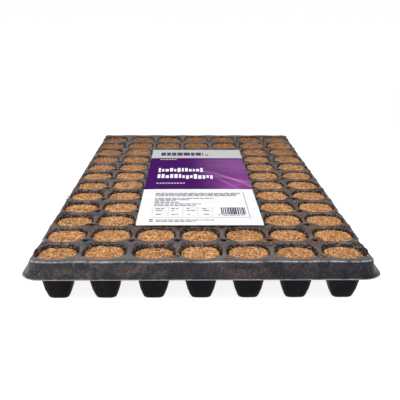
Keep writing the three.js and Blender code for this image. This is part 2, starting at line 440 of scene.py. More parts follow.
def coir(name, shift=0.0):
    """Bound coir: orange-tan crumbs with dark specks and pale fibres, and painted shade that makes it redder and
    darker towards the rear.
    """
    m = Nodes(name)
    where = m.tree.nodes.new("ShaderNodeMapping")
    m.link(m.coords, where.inputs["Vector"])
    where.inputs["Location"].default_value = (shift, shift * 0.7, shift * 1.3)
    v = where.outputs[0]
    tone = m.noise(7.5, 4, 0.6, vector=v)
    crumb = m.noise(2.1, 4, 0.74, 0.3, vector=v)
    grain = m.voronoi(1.7, "F1", "Distance", vector=v)
    cell = m.voronoi(1.7, "F1", "Color", vector=v)
    spot = m.noise(3.2, 2.5, 0.6, vector=v)
    c = m.mix(m.ramp(tone, 0.34, 0.66), (0.540, 0.232, 0.078), (0.960, 0.505, 0.210))
    hue = m.tree.nodes.new("ShaderNodeSeparateColor")
    m.link(cell, hue.inputs[0])
    c = m.multiply(c, m.mix(hue.outputs[2], (0.60, 0.56, 0.52), (1.22, 1.25, 1.29)))
    c = m.mix(m.ramp(hue.outputs[0], 0.35, 1.0, 0.0, 0.60), c, (0.960, 0.620, 0.320))
    c = m.mix(m.ramp(hue.outputs[1], 0.78, 0.95, 0.0, 0.70), c, (0.290, 0.095, 0.036))
    # darker where the bump's height is low, between crumbs and between grains: partly the coir's own dark bits, partly
    # painted shade in the crevices
    c = m.mix(m.ramp(crumb, 0.46, 0.32, 0.0, 0.86), c, (0.130, 0.044, 0.017))
    c = m.mix(m.ramp(grain, 0.42, 0.62, 0.0, 0.55), c, (0.180, 0.066, 0.026))
    c = m.mix(m.ramp(spot, 0.645, 0.70, 0.0, 0.88), c, (0.050, 0.024, 0.015))
    # pale fibres, two directions
    for turn, size in ((0.7, 1.0), (2.1, 1.15)):
        f = m.noise(size, 1.5, 0.4, 0.25, m.stretched(0.12, 1.0, 0.8, turn))
        c = m.mix(m.ramp(f, 0.66, 0.72, 0.0, 0.55), c, (0.86, 0.60, 0.33))
    # darkened where the plug's top is low between granules and in dibble pits, as painted shade; darker crumbs and
    # random patches on the flanks use it too
    crevice_shade_and_dark_tone = m.attribute("crevice_shade_and_dark_tone")
    c = m.mix(m.math("MULTIPLY", crevice_shade_and_dark_tone, 0.75), c, (0.090, 0.036, 0.016))
    xyz = m.xyz()
    # painted shade: the colour is dimmed and reddened towards the rear of the tray, where less light reaches
    back = m.ramp(xyz[1], -0.08, 0.262, 0.0, 1.0, soft=False)
    back = m.math("POWER", back, 1.3)
    c = m.multiply(c, m.mix(back, (1.0, 1.0, 1.0), (0.45, 0.40, 0.46)))
    height = m.math("ADD", m.math("MULTIPLY", grain, -0.7), m.math("MULTIPLY", crumb, 0.9))
    normal = m.bump(height, 0.9, 0.85)
    return m.finish(c, m.ramp(crumb, 0.2, 0.8, 0.96, 0.82), normal, Specular_IOR_Level=0.03)


def printed(name, colour, rough=0.42, speck=0.03):
    """An ink on the card's laminate, with a little unevenness and fine dust."""
    m = Nodes(name)
    n = m.noise(24, 4, 0.6)
    fine = m.noise(0.9, 3, 0.6)
    dark = tuple(max(0.0, x * (1 - 2.2 * speck)) for x in colour)
    c = m.mix(m.ramp(n, 0.3, 0.7), dark, colour)
    c = m.mix(m.ramp(fine, 0.68, 0.76, 0.0, 0.16), c, (0.45, 0.36, 0.28))
    uneven = m.ramp(n, 0.3, 0.7, rough - 0.05, rough + 0.06)
    return m.finish(c, uneven, m.bump(n, 0.25, 0.25), Specular_IOR_Level=0.02)


def purple_band():
    """The band's print: deep purple with soft lighter sweeps towards the right."""
    m = Nodes("purple_band")
    x, y, _ = m.xyz()
    # u runs 0..1 across the band, v 0..1 from its front to its rear
    u = m.ramp(x, -0.062, 0.062, 0.0, 1.0, soft=False)
    v = m.ramp(y, -0.0515, 0.1009, 0.0, 1.0, soft=False)
    n = m.noise(34, 3, 0.55)
    c = m.mix(m.ramp(u, 0.42, 1.0), (0.062, 0.0100, 0.115), (0.185, 0.046, 0.215))
    low = m.math("MULTIPLY", m.ramp(u, 0.45, 0.95), m.ramp(v, 0.55, 0.05))
    c = m.mix(m.math("MULTIPLY", low, 0.55), c, (0.330, 0.085, 0.300))
    glow = m.math("MULTIPLY", m.ramp(u, 0.35, 0.72), m.ramp(v, 0.35, 0.62))
    c = m.mix(m.math("MULTIPLY", glow, 0.42), c, (0.300, 0.125, 0.330))
    # soft sweeps: bands round curves y = a + b x^2 + c x
    for a, b, cc, wide, tint, much in (
        (0.86, -1.05, 0.62, 0.050, (0.50, 0.27, 0.52), 0.55),
        (0.62, -0.75, 0.66, 0.030, (0.55, 0.32, 0.58), 0.50),
        (0.10, 0.45, 0.02, 0.090, (0.40, 0.12, 0.38), 0.25),
        (0.95, -1.60, 0.70, 0.075, (0.38, 0.17, 0.42), 0.45),
    ):
        curve = m.math("MULTIPLY_ADD", m.math("MULTIPLY", u, u), b, m.math("MULTIPLY_ADD", u, cc, a - 0.35))
        away = m.math("ABSOLUTE", m.math("SUBTRACT", v, curve))
        line = m.math("MULTIPLY", m.ramp(away, wide, 0.0), m.ramp(u, 0.38, 0.85))
        c = m.mix(m.math("MULTIPLY", line, much), c, tint)
    c = m.mix(m.ramp(n, 0.35, 0.7, 0.0, 0.25), c, (0.055, 0.010, 0.100))
    top = m.ramp(v, 0.93, 1.0)
    c = m.mix(m.math("MULTIPLY", top, 0.75), c, (0.035, 0.008, 0.060))
    fine = m.noise(0.9, 3, 0.6)
    c = m.mix(m.ramp(fine, 0.70, 0.78, 0.0, 0.14), c, (0.45, 0.36, 0.28))
    uneven = m.ramp(n, 0.3, 0.7, 0.33, 0.42)
    return m.finish(c, uneven, m.bump(n, 0.25, 0.25), Specular_IOR_Level=0.0)


# ---------------------------------------------------------------- the tray
QUARTER = 12
SIDE_STEPS = np.array([0.0, 0.204, 0.42, 0.677, 1.0])


def quarter_outline(ex, ey, kind):
    """From (ex, 0) to (0, ey), QUARTER segments. kind: vent, square or round."""
    if kind == "round":
        a = np.linspace(0, math.pi / 2, QUARTER - 5)
        arc = np.c_[ex - CORNER_R + CORNER_R * np.cos(a), ey - CORNER_R + CORNER_R * np.sin(a)]
        t = np.array([0, 1 / 3, 2 / 3])
        side = np.c_[np.full(3, ex), t * (ey - CORNER_R)]
        return np.vstack([side, arc, np.c_[t[::-1] * (ex - CORNER_R), np.full(3, ey)]])
    side = np.c_[np.full(5, ex), SIDE_STEPS * (ey - VENT_R)]
    top = np.c_[SIDE_STEPS[::-1] * (ex - VENT_R), np.full(5, ey)]
    if kind == "vent":
        a = np.radians([22.5, 45, 67.5])
        mid = np.c_[ex - VENT_R * np.sin(a), ey - VENT_R * np.cos(a)]
    else:
        mid = np.array([[ex, ey - VENT_R / 2], [ex, ey], [ex - VENT_R / 2, ey]])
    return np.vstack([side, mid, top])


def ray_to_edge(theta, ext, kinds):
    """Distance from the cell's middle to its tile's edge, in direction theta (vents ignored)."""
    out = np.empty(len(theta))
    for k, t in enumerate(theta):
        cx, cy = math.cos(t), math.sin(t)
        ex = ext[0] if cx >= 0 else ext[1]
        ey = ext[2] if cy >= 0 else ext[3]
        quad = 0 if cx >= 0 and cy >= 0 else 1 if cy >= 0 else 2 if cx < 0 else 3
        d = min(ex / max(abs(cx), 1e-9), ey / max(abs(cy), 1e-9))
        if kinds[quad] == "round":
            hx, hy = abs(cx) * d, abs(cy) * d
            if hx > ex - CORNER_R and hy > ey - CORNER_R:
                mx, my = ex - CORNER_R, ey - CORNER_R
                b = abs(cx) * mx + abs(cy) * my
                d = b + math.sqrt(max(b * b - mx * mx - my * my + CORNER_R**2, 0))
        out[k] = d
    return out


def wall_r(z):
    """Inside radius of a cell at height z: a steeper cone at the foot."""
    return 7.6 + 0.229 * z + 2.3 * (1 - np.exp(-z / 7.0))


def square_n(z):
    """How square a cell's section is at height z: nearly round at the mouth, squarer at the foot."""
    return 4.8 - 2.15 * smooth(z / 36)


def section(theta, z):
    """Unit outline of a cell's section: multiply by its half width."""
    n = square_n(z)
    c, s = np.cos(theta), np.sin(theta)
    k = (np.abs(c) ** n + np.abs(s) ** n) ** (-1 / n)
    return np.c_[c * k, s * k * (1 + 0.02 * smooth(z / 36))]


def dip(gap):
    return WEB_DIP * (1 - smooth((gap - 1.35) / 8.0))


def build_tray():
    deck_x, deck_y = LIP_X - OUT_X, LIP_Y - OUT_Y
    n = 4 * QUARTER
    theta = np.arange(n) * 2 * math.pi / n
    verts, quads, soil, edge = [], [], [], []
    at = 0
    for row in range(1, ROWS + 1):
        for col in range(1, COLUMNS + 1):
            x0, y0 = cell_x(col), cell_y(row)
            right = PX / 2 if col < COLUMNS else deck_x - x0
            left = PX / 2 if col > 1 else deck_x + x0
            rear = PY / 2 if row < ROWS else deck_y - y0
            front = PY / 2 if row > 1 else deck_y + y0
            edges = [col == COLUMNS, col == 1, row == ROWS, row == 1]

            def kind(sx, sy):
                ex = edges[0] if sx > 0 else edges[1]
                ey = edges[2] if sy > 0 else edges[3]
                return "round" if ex and ey else "square" if ex or ey else "vent"

            kinds = [kind(1, 1), kind(-1, 1), kind(-1, -1), kind(1, -1)]
            q1 = quarter_outline(right, rear, kinds[0])
            q2 = quarter_outline(left, rear, kinds[1])[::-1] * [-1, 1]
            q3 = quarter_outline(left, front, kinds[2]) * [-1, -1]
            q4 = quarter_outline(right, front, kinds[3])[::-1] * [1, -1]
            rim = np.vstack([q1[:-1], q2[:-1], q3[:-1], q4[:-1]])
            mx, my, radius = mouth_of(col, row)
            off = np.array([mx, my])
            ext = (right - mx, left + mx, rear - my, front + my)
            phi = np.arctan2(rim[:, 1], rim[:, 0])
            edge_at = ray_to_edge(phi, (right, left, rear, front), kinds)
            gap_rim = np.maximum(edge_at - MOUTH_R * np.hypot(*section(phi, DECK).T), 0.3)
            mouth = section(theta, DECK)
            reach = np.hypot(*mouth.T)
            aim = np.arctan2(mouth[:, 1], mouth[:, 0])
            gap = np.maximum(ray_to_edge(aim, ext, kinds) - radius * reach, 0.3)
            wide = np.minimum(MOUTH_FILLET, 0.97 * gap)
            sag_rim, sag = dip(gap_rim), dip(gap)
            unit = np.c_[np.cos(aim), np.sin(aim)]
            # each cell is a little different, as a formed sheet is
            seed = row * 31 + col * 7
            wob = 0.16 * np.sin(2 * theta + 6.28 * hash01(seed, 1)) + 0.10 * np.sin(
                3 * theta + 6.28 * hash01(seed, 2)
            )
            rings = [np.c_[rim, DECK - sag_rim]]
            lip = unit * (radius * reach + wide)[:, None] + off
            drop = MOUTH_FILLET + 0.25
            for t in (0.0, 1 / 3, 2 / 3, 1.0):
                a = t * math.pi / 2
                r = radius * reach + wide * (1 - math.sin(a))
                z = DECK - sag - drop * (1 - math.cos(a))
                rings.append(np.c_[unit * r[:, None] + off, z])
            for z in (35.5, 9.0, 3.0):
                r = wall_r(z) + wob * (1.0 if z > 10 else 0.4)
                flat = section(theta, z) * np.broadcast_to(r, n)[:, None]
                rings.append(np.c_[flat + off * min(1, z / 36), np.full(n, z)])
            foot = float(wall_r(SHEET + 0.8))
            for r, z in ((foot - 0.22, SHEET + 0.5), (foot - 1.0, SHEET)):
                rings.append(np.c_[section(theta, 0) * r, np.full(n, z)])
            rings.append(np.c_[np.cos(theta) * DRAIN_R, np.sin(theta) * DRAIN_R, np.full(n, SHEET)])
            ring_soil = [0, 0, 0.1, 0.35, 0.7, 1, 1, 1, 1, 1, 1]
            # how much of the sheet's light grey each ring gets: on the fillets of the cell mouths it is a painted
            # highlight, partly wear, with a little more on the webs
            ring_wear_and_highlight = [0, 0, 0.30, 0.75, 0.05, 0, 0, 0, 0, 0, 0]
            for k, ring in enumerate(rings):
                verts.append(ring + [x0, y0, 0])
                on_web = smooth(1 - gap / 5) if k > 0 else smooth(1 - gap_rim / 5)
                soil.append(np.full(n, ring_soil[k]))
                edge.append(ring_wear_and_highlight[k] * (0.55 + 0.45 * on_web) + (0.10 * on_web if k < 1 else 0))
            j = np.arange(n)
            jn = (j + 1) % n
            for k in range(len(rings) - 1):
                a, b = at + k * n, at + (k + 1) * n
                quads.append(np.c_[a + j, a + jn, b + jn, b + j])
            at += n * len(rings)
    verts, quads = np.vstack(verts), np.vstack(quads)
    soil, edge = np.concatenate(soil), np.concatenate(edge)
    # tiles share the points on their edges
    key = np.round(verts * 400 + 0.137).astype(np.int64)
    _, first, back = np.unique(key, axis=0, return_index=True, return_inverse=True)
    back = back.reshape(-1)
    verts, soil, edge, quads = verts[first], soil[first], edge[first], back[quads]
    # the outside edge of the deck, as one loop
    e = np.vstack([quads[:, [i, (i + 1) % 4]] for i in range(4)])
    have = {(int(a), int(b)) for a, b in e}
    after = {int(a): int(b) for a, b in e if (int(b), int(a)) not in have}
    loops, seen = [], set()
    for start in after:
        if start in seen:
            continue
        loop, v = [], start
        while v not in seen:
            seen.add(v)
            loop.append(v)
            v = after[v]
        loops.append(loop)
    rim = np.array(max(loops, key=len))
    p = verts[rim]
    inner = np.c_[
        np.clip(p[:, 0], -(deck_x - CORNER_R), deck_x - CORNER_R),
        np.clip(p[:, 1], -(deck_y - CORNER_R), deck_y - CORNER_R),
    ]
    out = p[:, :2] - inner
    out /= np.maximum(np.linalg.norm(out, axis=1), 1e-9)[:, None]
    bulge = 0.30 * np.sin(p[:, 1] / 61 + p[:, 0] / 87 + 0.6) + 0.18 * np.sin(
        p[:, 1] / 23 + p[:, 0] / 31
    )
    foot_z = LIP_Z + SHEET + 0.6
    steps = []  # (out across, out along, corner radius, height, measured from)
    for a in np.radians([12, 28, 45, 64, 90]):
        k = math.sin(a)
        steps.append((1.5 * k, 1.5 * k, CORNER_R + 1.5 * k, -1.9 * (1 - math.cos(a)), "deck"))
    for t in (0.14, 0.50, 0.80, 1.0):
        k = 0.45 * t + 0.55 * t**3.2
        steps.append((1.5 + k * 5.1, 1.5 + k * 1.2, CORNER_R + 1.5 + k * 5.4, t, "skirt"))
    for a in np.radians([22, 45, 67, 90]):
        back = 1 - math.cos(a)
        height = 1.5 * (1 - math.sin(a))
        steps.append((6.6 + 1.5 * back, 2.7 + 0.95 * back, CORNER_R + 6.9 + 1.6 * back, height, "lip"))
    steps.append((OUT_X - 0.4, OUT_Y - 0.35, 17.0, 0.0, "lip"))
    steps.append((OUT_X - 0.02, OUT_Y - 0.02, 17.3, -0.3, "lip"))
    prev, m = rim, len(rim)
    j = np.arange(m)
    jn = (j + 1) % m
    straight = (deck_x - CORNER_R, deck_y - CORNER_R)
    for s, (ox, oy, corner, dz, mode) in enumerate(steps):
        if mode == "deck":
            z = p[:, 2] + dz
        elif mode == "skirt":
            z = (p[:, 2] - 1.9) * (1 - dz) + (foot_z + 1.5) * dz
        else:
            z = np.full(m, foot_z + dz)
        soften = bulge * (1.0 if mode == "skirt" and dz < 1 else 0.3 if mode == "deck" else 0.0)
        middle = inner.copy()
        for i, (half, grow) in enumerate(((deck_x, ox), (deck_y, oy))):
            start = straight[i] * 0.6
            t = np.clip((np.abs(middle[:, i]) - start) / (straight[i] - start), 0, 1)
            middle[:, i] += np.sign(middle[:, i]) * t * (half + grow - corner - straight[i])
        ring = np.c_[middle + out * (corner + soften)[:, None], z]
        new = len(verts) + j
        verts = np.vstack([verts, ring])
        soil = np.concatenate([soil, np.zeros(m)])
        # the deck's outer fillet and the lip's edge get the light grey too: a painted highlight line, partly wear
        shine = (0.0, 0.62, 1.50, 0.45, 0.0)[s] if s < 5 else 0.6 if s >= len(steps) - 2 else 0.0
        edge = np.concatenate([edge, np.full(m, shine)])
        quads = np.vstack([quads, np.c_[prev[jn], prev[j], new[j], new[jn]]])
        prev = new
    # the deck is a shade wider at the front than at the rear
    side = smooth((np.abs(verts[:, 0]) - 138) / 6) * smooth((verts[:, 2] - 29) / 6)
    verts[:, 0] += np.sign(verts[:, 0]) * side * (-verts[:, 1] / 260) * 0.7
    # its left rim was trimmed closer
    left = smooth((-verts[:, 0] - 139) / 7)
    verts[:, 0] += 1.3 * left
    # and its long sides are drawn in behind some rows
    side = smooth((np.abs(verts[:, 0]) - (deck_x - 14)) / 13) * smooth((verts[:, 2] - 29) / 10)
    verts[:, 0] -= np.sign(verts[:, 0]) * side * pinch_at(verts[:, 1])
    verts = warp(verts)
    # the sheet's underside, one thickness away
    a, b, c, d = (verts[quads[:, i]] for i in range(4))
    fn = np.cross(c - a, d - b)
    nrm = np.zeros_like(verts)
    for i in range(4):
        np.add.at(nrm, quads[:, i], fn)
    nrm /= np.maximum(np.linalg.norm(nrm, axis=1), 1e-9)[:, None]
    under = verts - nrm * SHEET
    under[:, 2] = np.maximum(under[:, 2], 0.0)
    count = len(verts)
    e = np.vstack([quads[:, [i, (i + 1) % 4]] for i in range(4)])
    have = set(map(tuple, e.tolist()))
    border = np.array([x for x in e.tolist() if (x[1], x[0]) not in have])
    sides = np.c_[border[:, 1], border[:, 0], border[:, 0] + count, border[:, 1] + count]
    faces = np.vstack([quads, quads[:, ::-1] + count, sides])
    outer = np.isin(border[:, 0], prev)
    # the underside's faces get the darker material, painted shade
    mat = np.concatenate(
        [np.zeros(len(quads), int), np.full(len(quads), 2), np.where(outer, 1, 0)]
    )
    o = make_mesh(
        "moulded_tray",
        np.vstack([verts, under]),
        faces,
        (black_sheet(), cut_edge_painted_highlight(), sheet_underside_painted_shade()),
        mat,
    )
    point_attribute(o, "soil", np.concatenate([soil, soil * 0.35]))
    # edge holds the amount of painted highlight and wear that the sheet's shader mixes in
    point_attribute(o, "edge", np.concatenate([edge, np.zeros(count)]))
    return o


tray = build_tray()
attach(tray, "tray")
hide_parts("cell_tray")

# ---------------------------------------------------------------- plugs
COIR = [coir("coir_a", 0.0), coir("coir_b", 0.37), coir("coir_c", 0.81)]
TOP_R = 18.05
AROUND = 96


def disc_template():
    """Points and triangles of a disc of radius 1, with a ring of AROUND points at its edge."""
    step = 0.86 / TOP_R
    pts = []
    rows = int(2 / (step * 0.866)) + 2
    for i in range(-rows // 2, rows // 2 + 1):
        for k in range(-int(1 / step) - 2, int(1 / step) + 3):
            x = (k + (i % 2) * 0.5) * step + (float(hash01(i + 99, k + 99, 5)) - 0.5) * step * 0.5
            y = i * step * 0.866 + (float(hash01(i + 99, k + 99, 6)) - 0.5) * step * 0.5
            if math.hypot(x, y) < 1 - 0.55 * step:
                pts.append((x, y))
    ring = [
        (math.cos(2 * math.pi * k / AROUND), math.sin(2 * math.pi * k / AROUND))
        for k in range(AROUND)
    ]
    points = ring + pts
    got = delaunay_2d_cdt([Vector(q) for q in points], [], [], 0, 1e-7)
    tris = np.array([f for f in got[2] if len(f) == 3])
    order = [o[0] for o in got[3]]  # input index of each output point
    tris = np.array(order)[tris]
    p = np.array(points)
    a, b, c = p[tris[:, 0]], p[tris[:, 1]], p[tris[:, 2]]
    area = (b[:, 0] - a[:, 0]) * (c[:, 1] - a[:, 1]) - (b[:, 1] - a[:, 1]) * (c[:, 0] - a[:, 0])
    tris = tris[np.abs(area) > 1e-9]
    area = area[np.abs(area) > 1e-9]
    tris[area < 0] = tris[area < 0][:, ::-1]
    return p, tris


DISC, DISC_TRIS = disc_template()
ICO_V, ICO_F = None, None


def icosahedron():
    t = (1 + 5**0.5) / 2
    v = np.array(
        [(-1, t, 0), (1, t, 0), (-1, -t, 0), (1, -t, 0), (0, -1, t), (0, 1, t),
         (0, -1, -t), (0, 1, -t), (t, 0, -1), (t, 0, 1), (-t, 0, -1), (-t, 0, 1)], float
    )
    f = np.array(
        [(0, 11, 5), (0, 5, 1), (0, 1, 7), (0, 7, 10), (0, 10, 11), (1, 5, 9), (5, 11, 4),
         (11, 10, 2), (10, 7, 6), (7, 1, 8), (3, 9, 4), (3, 4, 2), (3, 2, 6), (3, 6, 8),
         (3, 8, 9), (4, 9, 5), (2, 4, 11), (6, 2, 10), (8, 6, 7), (9, 8, 1)]
    )
    return v / np.linalg.norm(v[0]), f


ICO_V, ICO_F = icosahedron()


def lumps(centres, sizes, seed):
    """Small angular crumbs: one squashed, dented icosahedron each."""
    n = len(centres)
    if not n:
        return np.zeros((0, 3)), np.zeros((0, 3), int)
    k = np.arange(n)
    v = np.repeat(ICO_V[None], n, 0)
    dent = 0.72 + 0.56 * hash01(k[:, None], np.arange(12)[None], seed)
    v = v * dent[..., None]
    scale = np.stack([0.75 + 0.6 * hash01(k, seed + i) for i in (1, 2, 3)], 1)
    scale[:, 2] *= 0.72
    v = v * scale[:, None, :]
    a, b = hash01(k, seed + 4) * 6.283, (hash01(k, seed + 5) - 0.5) * 1.2
    ca, sa, cb, sb = np.cos(a), np.sin(a), np.cos(b), np.sin(b)
    x, y, z = v[..., 0], v[..., 1], v[..., 2]
    y, z = y * cb[:, None] - z * sb[:, None], y * sb[:, None] + z * cb[:, None]
    x, y = x * ca[:, None] - y * sa[:, None], x * sa[:, None] + y * ca[:, None]
    v = np.stack([x, y, z], 2) * np.asarray(sizes)[:, None, None] + np.asarray(centres)[:, None]
    f = ICO_F[None] + 12 * k[:, None, None]
    return v.reshape(-1, 3), f.reshape(-1, 3)


def fibres(starts, headings, lengths, thick, seed):
    """Thin curved strands, three-sided, with closed ends, lying over a surface."""
    verts, faces, at = [], [], 0
    for i, (s, h, length) in enumerate(zip(starts, headings, lengths)):
        segs = 6
        bend = (float(hash01(i, seed)) - 0.5) * 2.4
        pts = [np.array(s, float)]
        for k in range(segs):
            a = h + bend * (k / segs)
            lift = 0.22 * math.sin(math.pi * (k + 0.5) / segs) * (0.4 + float(hash01(i, k, seed + 3)))
            step = length / segs
            pts.append(pts[-1] + np.array([math.cos(a) * step, math.sin(a) * step, 0]))
            pts[-1][2] = s[2] + lift
        pts = np.array(pts)
        for k, q in enumerate(pts):
            a = h + bend * (min(k, segs - 1) / segs)
            side = np.array([-math.sin(a), math.cos(a), 0])
            r = thick * (0.35 if k in (0, segs) else 1.0)
            for g in (0, 2.094, 4.189):
                verts.append(q + side * math.cos(g) * r + np.array([0, 0, math.sin(g) * r]))
        for k in range(segs):
            for g in range(3):
                a0, a1 = at + 3 * k + g, at + 3 * k + (g + 1) % 3
                b0, b1 = a0 + 3, a1 + 3
                faces += [(a0, b0, b1), (a0, b1, a1)]
        faces += [(at, at + 1, at + 2), (at + 3 * segs + 2, at + 3 * segs + 1, at + 3 * segs)]
        at += 3 * (segs + 1)
    return np.array(verts).reshape(-1, 3), np.array(faces, int).reshape(-1, 3)


SIDE_Z = np.array([0.55, 1.5, 3.0, 5.5, 9.0, 14.0, 20.0, 26.0, 32.0, 36.2, 37.4])


# how far the front two rows of plugs have sunk in their cells
SUNK = ((1.8, 0.6, 2.2, 0.9, 0.5, 1.9, 1.8), (0.8, 0.3, 0.6, 1.2, 0.3, 0.9, 0.3))


def build_plug(name, col, row, fine=True):
    seed = row * 101 + col * 13
    rnd = lambda k: float(hash01(seed, k))
    mx, my, _ = mouth_of(col, row)
    x0 = cell_x(col) + mx + (rnd(1) - 0.5) * 0.7
    y0 = cell_y(row) + my + (rnd(2) - 0.5) * 0.4 - 0.2
    sunk = SUNK[row - 1][col - 1] if row < 3 else (0.9 if col == 1 else 0.0) + 0.6 * rnd(3)
    top = DECK - 3.5 + 1.2 * float(smooth((row - 4) / 7)) - sunk
    top_r = TOP_R - 0.24 * max(0.0, DECK - 3.5 - top)
    tilt = np.array([(rnd(4) - 0.5) * 0.05, (rnd(5) - 0.5) * 0.05])
    turn = rnd(6) * 6.283
    ca, sa = math.cos(turn), math.sin(turn)
    d = DISC @ np.array([[ca, sa], [-sa, ca]])
    ring_a = np.arctan2(d[:AROUND, 1], d[:AROUND, 0])

    # outline: rough, slightly out of round
    q = np.c_[np.cos(ring_a) * 9, np.sin(ring_a) * 9, np.full(AROUND, seed * 3.7)]
    ragged = 0.62 * fbm(q, 4.2, seed, 3) + 0.22 * vnoise(q, 1.1, seed + 5)
    ragged += 0.14 * np.sin(2 * ring_a + 6.28 * rnd(7))
    shape = np.hypot(*section(ring_a, DECK).T)
    outline = (top_r - 0.2) * shape + ragged
    rad = np.hypot(d[:, 0], d[:, 1])
    ang = np.arctan2(d[:, 1], d[:, 0])
    order = np.argsort(ring_a)
    scale = np.interp(ang, ring_a[order], outline[order], period=2 * math.pi)
    edge_in = 0.5  # the top's arris is crumbled away this far in
    xy = d * (scale - edge_in * smooth((rad - 0.80) / 0.20))[:, None]
    p = np.c_[xy, np.zeros(len(xy))]
    w = p + [x0, y0, 0]
    z = 0.55 * fbm(w, 9.0, 11, 3)
    g1 = granules(w, 2.3, 21 + seed)
    g2 = granules(w + 7.3, 1.45, 25 + seed)
    z += 0.85 * g1 + 0.45 * g2 + 0.24 * vnoise(w, 0.95, 31)
    z -= 0.85 * smooth((rad - 0.88) / 0.12)
    # darker where the top is low between granules: painted shade in the crevices
    crevice_shade_and_dark_tone = np.clip(0.55 - g1 - 0.6 * g2, 0, 1) * 0.7
    if rnd(8) < 0.42:  # a dibble mark
        mx, my = (rnd(9) - 0.5) * 4, (rnd(10) - 0.5) * 4
        mark = np.exp(-(((p[:, 0] - mx) / 1.5) ** 2 + ((p[:, 1] - my) / 1.5) ** 2))
        z -= 2.2 * mark
        # the dibble pit is darkened too: painted shade
        crevice_shade_and_dark_tone = np.maximum(crevice_shade_and_dark_tone, mark)
    z += top - 0.45 + p[:, 0] * tilt[0] + p[:, 1] * tilt[1]
    verts, faces, crevice_shade_and_dark_tone_list = [np.c_[xy, z]], [DISC_TRIS], [crevice_shade_and_dark_tone]
    at = len(xy)
    # the flank, from the top's edge down
    prev = np.arange(AROUND)
    j, jn = np.arange(AROUND), (np.arange(AROUND) + 1) % AROUND
    base_r = 7.7
    levels = top - SIDE_Z[1:]
    for k, zl in enumerate(levels):
        f = (zl - PLUG_LO[2]) / (top - PLUG_LO[2])
        mean = min(base_r + (top_r - 0.3 - base_r) * f, float(wall_r(zl)) - 0.75)
        c3 = np.c_[np.cos(ring_a) * mean, np.sin(ring_a) * mean, np.full(AROUND, zl)]
        wq = c3 + [x0, y0, 0]
        r = mean * np.hypot(*section(ring_a, zl).T) + ragged * (0.9 - 0.5 * (1 - f)) + 0.20 * fbm(wq, 2.4, seed + 9, 3)
        if k == len(levels) - 1:
            r = r - 0.5
            zl = PLUG_LO[2] + 0.05
        v = np.c_[np.cos(ring_a) * r, np.sin(ring_a) * r, np.full(AROUND, zl)]
        verts.append(v)
        crevice_shade_and_dark_tone_list.append(np.clip(0.35 + 0.5 * vnoise(wq, 1.6, seed + 12), 0, 1) * 0.5)
        new = at + j
        faces += [np.c_[prev[j], new[jn], prev[jn]], np.c_[prev[j], new[j], new[jn]]]
        prev, at = new, at + AROUND
    verts.append([[0, 0, PLUG_LO[2]]])
    crevice_shade_and_dark_tone_list.append([0.4])
    faces.append(np.c_[prev[jn], prev[j], np.full(AROUND, at)])
    at += 1
    if fine:
        # loose crumbs and strands on the top
        n = 46
        k = np.arange(n)
        rr = np.sqrt(hash01(k, seed, 41)) * (TOP_R - 1.6)
        aa = hash01(k, seed, 42) * 6.283
        cx, cy = rr * np.cos(aa), rr * np.sin(aa)
        near = np.array([np.argmin((xy[:, 0] - a) ** 2 + (xy[:, 1] - b) ** 2) for a, b in zip(cx, cy)])
        size = 0.28 + 0.50 * hash01(k, seed, 43) ** 2
        v, f = lumps(np.c_[cx, cy, z[near] + size * 0.25], size, seed + 44)
        verts.append(v)
        crevice_shade_and_dark_tone_list.append(np.where(np.repeat(hash01(k, seed, 47), 12) < 0.22, 0.9, 0.0))
        faces.append(f + at)
        at += len(v)
        n = 9
        k = np.arange(n)
        rr = np.sqrt(hash01(k, seed, 51)) * (TOP_R - 5.5)
        aa = hash01(k, seed, 52) * 6.283
        hh = hash01(k, seed, 53) * 6.283
        cx, cy = rr * np.cos(aa), rr * np.sin(aa)
        near = [np.argmin((xy[:, 0] - a) ** 2 + (xy[:, 1] - b) ** 2) for a, b in zip(cx, cy)]
        v, f = fibres(
            np.c_[cx, cy, z[near] + 0.18], hh, 2.5 + 4.5 * hash01(k, seed, 54), 0.085, seed + 55
        )
        verts.append(v)
        crevice_shade_and_dark_tone_list.append(np.zeros(len(v)))
        faces.append(f + at)
        at += len(v)
    verts = warp(np.vstack(verts) + [x0, y0, 0])
    o = make_mesh(name, verts, np.vstack(faces), (COIR[int(rnd(12) * 3) % 3],))
    point_attribute(o, "crevice_shade_and_dark_tone", np.concatenate(crevice_shade_and_dark_tone_list))
    return o


for row in range(1, ROWS + 1):
    for col in range(1, COLUMNS + 1):
        under = 3 <= col <= 5 and 3 <= row <= 10
        paired = 3 <= col <= 5 and row > 10
        if under:
            node, body = "plugs_under_card", "tray"
        elif paired:
            node = body = f"plug_pair_c{col}_r11_r12"
        else:
            node = body = f"plug_r{row:02d}_c{col}"
        plug = build_plug(f"coir_plug_r{row:02d}_c{col}", col, row)
        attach(plug, body)
        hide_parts(node)

# ---------------------------------------------------------------- the label card
WHITE = (0.86, 0.86, 0.875)
HEAD = (0.52, 0.525, 0.53)
INK = (0.045, 0.016, 0.075)
GREY = (0.15, 0.14, 0.17)
PALE = (0.50, 0.50, 0.53)


